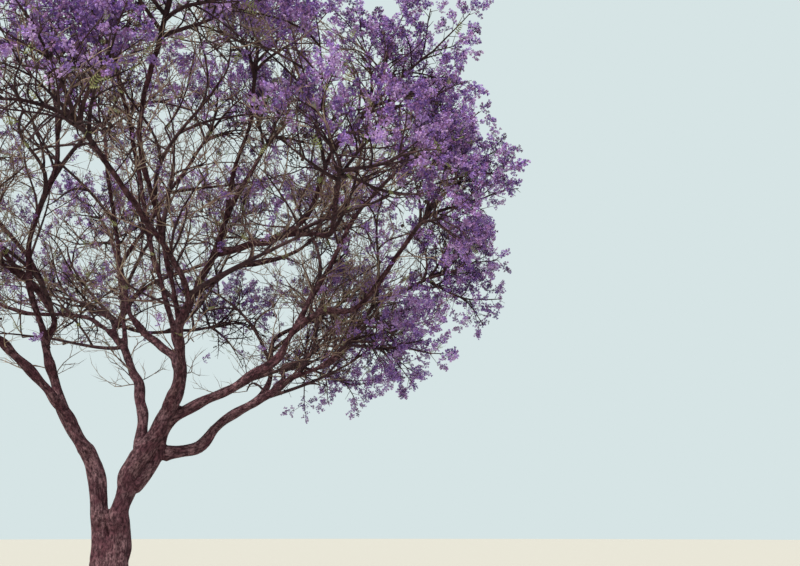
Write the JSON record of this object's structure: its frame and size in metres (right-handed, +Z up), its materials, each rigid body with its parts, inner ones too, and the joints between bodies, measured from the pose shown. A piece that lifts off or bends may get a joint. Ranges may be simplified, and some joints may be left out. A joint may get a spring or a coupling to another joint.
{
  "type": "jacaranda tree",
  "caption": "Jacaranda in full bloom: short forked trunk, sinuous boughs and a wide umbrella crown of violet blossom sprays.",
  "frame": {"origin": "middle of the trunk's flat cut at ground level", "axes": "+Z up, +X towards the open road that the boughs sweep over, +Y away from the picture's camera"},
  "size_m": [18.4771, 18.9037, 15.4038],
  "materials": {
    "bark": "rough fissured grey-brown bark",
    "blossom": "soft matt violet trumpet blossom on thin grey-brown twigs"
  },
  "bodies": {
    "root": {"bough_back": "bark", "bough_front": "bark", "bough_inner": "bark", "bough_left_front": "bark", "bough_low_1": "bark", "bough_over_road": "bark", "bough_rim_1": "bark", "bough_rim_2": "bark", "bough_rim_3": "bark", "bough_rim_5": "bark", "bough_rim_6": "bark", "bough_rim_8": "bark", "bough_road_high": "bark", "bough_road_low": "bark", "bough_shoulder_0": "bark", "bough_shoulder_1": "bark", "bough_shoulder_2": "bark", "bough_shoulder_3": "bark", "bough_shoulder_4": "bark", "bough_shoulder_5": "bark", "bough_shoulder_7": "bark", "bough_shoulder_8": "bark", "bough_top_2": "bark", "bough_top_3": "bark", "bough_top_4": "bark", "bough_top_5": "bark", "mass_low_0": "blossom", "mass_low_1": "blossom", "mass_rim_0": "blossom", "mass_rim_1": "blossom", "mass_rim_10": "blossom", "mass_rim_2": "blossom", "mass_rim_3": "blossom", "mass_rim_4": "blossom", "mass_rim_5": "blossom", "mass_rim_6": "blossom", "mass_rim_7": "blossom", "mass_rim_8": "blossom", "mass_rim_9": "blossom", "mass_shoulder_0": "blossom", "mass_shoulder_1": "blossom", "mass_shoulder_2": "blossom", "mass_shoulder_3": "blossom", "mass_shoulder_4": "blossom", "mass_shoulder_5": "blossom", "mass_shoulder_6": "blossom", "mass_shoulder_7": "blossom", "mass_shoulder_8": "blossom", "mass_top_0": "blossom", "mass_top_1": "blossom", "mass_top_2": "blossom", "mass_top_3": "blossom", "mass_top_4": "blossom", "mass_top_5": "blossom", "stem_left": "bark", "stem_right": "bark", "trunk": "bark"}
  },
  "joints": []
}
